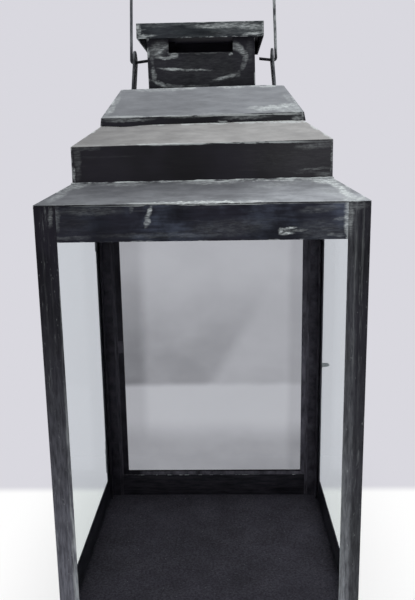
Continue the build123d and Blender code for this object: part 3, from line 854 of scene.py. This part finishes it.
finishes = {
    "post": post_paint(), "rail": rail_paint(), "base": base_paint(), "inside": inside_paint(),
    "lower": roof_paint("lower_roof_paint", EAVES_Z + 1, MIDDLE_LOW / MM, BODY / MM,
                        washes_and_light=(0.32, 0.39, 0.77), seed=101, marks=LOWER_MARKS, bright=50,
                        fade=0.5, contrast=0.35),
    "middle": roof_paint("middle_roof_paint", MIDDLE_EAVES, MIDDLE_TOP / MM, MIDDLE / MM,
                         washes_and_light=(0.58, 0.8, 0.88), seed=111, marks=MIDDLE_MARKS, bright=72,
                         tone=GREY_HAZE),
    "upper": roof_paint("upper_roof_paint", UPPER_EAVES, CROWN_Z / MM, UPPER / MM,
                        washes_and_light=(0.56, 0.63, 0.68), seed=121, marks=UPPER_MARKS, bright=70),
    "chimney": chimney_paint(), "cap": cap_paint(), "ear": ear_paint(), "wire": wire_paint(),
    "door": door_paint(), "hardware": hardware_paint("hardware_paint", 0.25),
    "button": hardware_paint("button_paint", 0.75, haze=0.8), "solder": solder_paint(),
    "pane": glass_finish("clear_pane", (0.955, 0.967, 0.966, 1)),
    # The door's pane is tinted darker than the others and filmed: a painted shadow.
    "door_pane": glass_finish("door_pane", (0.853, 0.854, 0.855, 1), shade_depth=0.27),
}

# The finish and the record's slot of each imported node, by the start of its name
NODE_FINISHES = (
    ("post", "post", "frame_paint"), ("top_rail", "rail", "frame_paint"),
    ("bottom_rail", "rail", "frame_paint"), ("base_plate", "base", "inside_paint"),
    ("glass_clamp", "inside", "inside_paint"), ("glass", "pane", "clear_glass"),
    ("door_glass", "door_pane", "clear_glass"), ("door_knob", "hardware", "hardware_paint"),
    ("door", "door", "door_paint"), ("lower_roof", "lower", "roof_paint"),
    ("middle_roof", "middle", "roof_paint"), ("upper_roof", "upper", "roof_paint"),
    ("chimney_cap", "cap", "chimney_paint"), ("chimney", "chimney", "chimney_paint"),
    ("ear", "ear", "ear_paint"),
    ("bail", "wire", "wire_paint"), ("latch_button", "button", "hardware_paint"),
    ("", "hardware", "hardware_paint"),
)

# How far each kind of piece has its edges rounded, in millimetres, by the start of its name
ROUNDED_MM = {
    "post": 0.35, "top_rail": 0.35, "bottom_rail": 0.35, "chimney": 0.35, "ear": 0.4,
    "door_stile": 0.35, "door_rail": 0.35, "hinge_leaf": 0.25, "hinge_pin": 0.4, "latch": 0.3,
    "bail": 0.3,
}

for node, packed in frame["nodes"].items():
    finish, slot = next((f, s) for start, f, s in NODE_FINISHES if node.startswith(start))
    packed.data.materials.clear()
    packed.data.materials.append(finishes[finish])
    round_mm = next((size for start, size in ROUNDED_MM.items() if node.startswith(start)), None)
    if round_mm:
        softened(node, slot, finishes[finish], round_mm)
    elif finish in ("pane", "door_pane"):
        eased_pane(node, slot, finishes[finish])

# Rivets of the ears and the hinge leaves, with the places that they sit at on a foot or a leaf
RIVET = [(2.5 * cos(radians(a)), 1.3 * sin(radians(a))) for a in (0, 18, 36, 54, 72, 84)]
FOOT_INSET = 6.5 * MM
FOOT_SHEET = 2 * MM
LEAF = 1.1 * MM
LEAF_INSET = 7 * MM
RIVET_STEP = 7.5 * MM

rivets = bmesh.new()
for side in ("left", "right"):
    low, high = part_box("ear_" + side)
    toe = min(abs(low.x), abs(high.x)) + FOOT_INSET + EAR_LEAN
    turned(rivets, RIVET, (toe if side == "right" else -toe, 0, low.z + FOOT_SHEET), (0, 0, 1))
for level in ("lower", "upper"):
    low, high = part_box("hinge_leaf_post_" + level)
    for step in (-RIVET_STEP, RIVET_STEP):
        place = (-BODY - LEAF, BODY - LEAF_INSET, (low.z + high.z) / 2 + step)
        turned(rivets, RIVET, place, (-1, 0, 0))
made("fixed_rivets", rivets, finishes["hardware"], "hardware_paint")

rivets = bmesh.new()
door_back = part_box("door_stile_hinge")[1].y
for level in ("lower", "upper"):
    low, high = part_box("hinge_leaf_door_" + level)
    for step in (-RIVET_STEP, RIVET_STEP):
        place = (high.x - LEAF_INSET, door_back + LEAF, (low.z + high.z) / 2 + step)
        turned(rivets, RIVET, place, (0, 1, 0))
made("door_rivets", rivets, finishes["hardware"], "hardware_paint", body="door")

# The door's turned knob
KNOB = [
    (1.4, -0.8), (1.4, 0), (3.3, 0), (3.3, 0.7), (3.0, 1.1), (2.6, 2.2), (2.6, 3.4), (3.2, 4.4),
    (4.1, 5.2), (4.55, 6.1), (4.5, 6.9), (4.1, 7.7), (3.3, 8.2), (2.0, 8.45), (0.6, 8.5),
]
knob_length = KNOB[-1][1] * MM
low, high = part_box("door_knob")
knob = bmesh.new()
place = ((low.x + high.x) / 2, high.y - knob_length, (low.z + high.z) / 2)
turned(knob, KNOB, place, (0, 1, 0), steps=28)
made("door_knob_made", knob, finishes["hardware"], "hardware_paint", "door_knob")

# Roof tiers, folded from sheet and a little uneven along their edges. The ledges lie under the
# tier above, and the flue is the opening below the chimney.
LEDGE = 11.0
FLUE = CHIMNEY / MM - 1.5


def swell(place, middle, width):
    """A bump of height 1 along a line."""
    return exp(-(((place - middle) / width) ** 2))


def middle_wander(turn, along, height):
    """The middle tier's fascia, slightly wavy below its fold."""
    low = share_of((MIDDLE_EAVES - height) / 28)
    shift = 0.35 * wave(along + 210 * turn, 1.3, 90)
    lift = 0.25 * wave(along + 130 * turn, 2.1, 60)
    return low * shift, low * lift


def upper_wander(turn, along, height):
    """The upper tier's low edge, with three dents at the front and the right side let in."""
    low = share_of((UPPER_EAVES - height) / 6)
    dent = swell(along, -60, 13) + 0.5 * swell(along, 17, 5) + 0.5 * swell(along, 76, 5)
    if turn:
        dent = 0.5 + 0.5 * wave(along + 170 * turn, turn, 70)
    let_in = 0.9 if turn == 1 else 0.0
    return low * (0.3 + 1.4 * dent) + let_in, -low * (1.3 * dent - 0.35)


square_ring("lower_roof_made", folded([
    (BODY / MM - 12, EAVES_Z), (BODY / MM, EAVES_Z), (BODY / MM, EAVES_Z + 1),
    (MIDDLE / MM, MIDDLE_LOW / MM), (MIDDLE / MM - LEDGE, MIDDLE_LOW / MM),
], bend=0.4), "lower", "lower_roof", corner=0.8)
square_ring("middle_roof_made", folded([
    (MIDDLE / MM, MIDDLE_LOW / MM), (MIDDLE / MM, MIDDLE_EAVES), (UPPER / MM, MIDDLE_TOP / MM),
    (UPPER / MM - LEDGE, MIDDLE_TOP / MM),
]), "middle", "middle_roof", wander=middle_wander)
square_ring("upper_roof_made", folded([
    (UPPER / MM, MIDDLE_TOP / MM), (UPPER / MM, UPPER_EAVES), (CROWN, CROWN_Z / MM),
    (FLUE, CROWN_Z / MM),
]), "upper", "upper_roof", wander=upper_wander)

bead("middle_roof_solder", MIDDLE / MM + 0.2, MIDDLE_LOW / MM, thick=0.9, seed=1.0)
bead("chimney_solder", CHIMNEY / MM + 0.2, CROWN_Z / MM + 0.1, thick=1.0, seed=2.0, steps=36)


# Camera, at the place and angle that the photograph was taken from, found from its outlines
PHOTO_HEIGHT = 600
FOCAL_PIXELS = 678.76
EYE = Vector((18.1, -628.3, 399.8)) * MM
YAW, PITCH, ROLL = radians(-1.648), radians(11.919), radians(-0.963)

ahead = Vector((sin(YAW) * cos(PITCH), cos(YAW) * cos(PITCH), -sin(PITCH)))
level_right = Vector((cos(YAW), -sin(YAW), 0))
level_up = level_right.cross(ahead)
right = cos(ROLL) * level_right + sin(ROLL) * level_up
up = cos(ROLL) * level_up - sin(ROLL) * level_right
lens = bpy.data.cameras.new("camera")
lens.sensor_width = 36
lens.lens = FOCAL_PIXELS / PHOTO_HEIGHT * lens.sensor_width
camera = bpy.data.objects.new("camera", lens)
camera.matrix_world = Matrix.Translation(EYE) @ Matrix((right, up, -ahead)).transposed().to_4x4()
bpy.context.scene.collection.objects.link(camera)
bpy.context.scene.camera = camera
bpy.context.scene.view_settings.view_transform = "Standard"

# Floor, which goes from white to the pale grey of the background just behind the lantern, between
# the two distances in millimetres, and shows the lantern's shadow within the two after them
FLOOR_WHITE = srgb(243, 243, 245)
PURE_WHITE = srgb(255, 255, 255)
PALE_GREY = srgb(217, 216, 223)
BACKDROP_EDGE = (128, 150)
SHADOW_REACH = (10, 110)
SKY_LIGHT = 0.6


def seen_ray(finish):
    """1 on rays that show the background: from the camera, in gloss and through glass."""
    outputs = finish.node("ShaderNodeLightPath").socket.node.outputs
    names = ("Is Camera Ray", "Is Glossy Ray", "Is Transmission Ray")
    camera_ray, glossy_ray, glass_ray = [Signal(finish, outputs[name]) for name in names]
    return (camera_ray + glossy_ray + glass_ray).least(1.0)


def floor_finish():
    finish = Finish("floor_finish")
    backdrop = finish.y.step(*BACKDROP_EDGE)
    lit_colour = finish.mix(backdrop, FLOOR_WHITE, PALE_GREY)
    lit = finish.node("ShaderNodeBsdfDiffuse", inputs={"Color": lit_colour})
    shown_colour = finish.mix(backdrop, PURE_WHITE, PALE_GREY)
    glow = finish.node("ShaderNodeEmission", inputs={"Color": shown_colour, "Strength": 1.0})
    away = finish.around()[0] - BODY / MM
    share = (0.75 + 0.25 * away.step(*SHADOW_REACH)) * seen_ray(finish)
    return finish.show(finish.node("ShaderNodeMixShader", inputs={0: share, 1: lit, 2: glow}))


bpy.ops.mesh.primitive_circle_add(vertices=96, radius=20, fill_type="NGON")
floor = bpy.context.object
floor.name = "floor"
floor.data.materials.append(floor_finish())

world = bpy.data.worlds.new("world")
bpy.context.scene.world = world
sky = Finish("sky", world)
lit_by = sky.node("ShaderNodeBackground", inputs={"Color": PURE_WHITE, "Strength": SKY_LIGHT})
shown = sky.node("ShaderNodeBackground", inputs={"Color": PALE_GREY, "Strength": 1.0})
sky.show(sky.node("ShaderNodeMixShader", inputs={0: seen_ray(sky), 1: lit_by, 2: shown}))


# One broad lamp above, which faces the middle of the lantern
lamp = bpy.data.lights.new("top_lamp", "AREA")
lamp.size = 1.4
lamp.energy = 16
top_lamp = bpy.data.objects.new("top_lamp", lamp)
top_lamp.location = (0.3, -0.2, 2.0)
aim = Vector((0, 0, BODY_TOP / 2)) - top_lamp.location
top_lamp.rotation_euler = aim.to_track_quat("-Z", "Y").to_euler()
bpy.context.scene.collection.objects.link(top_lamp)
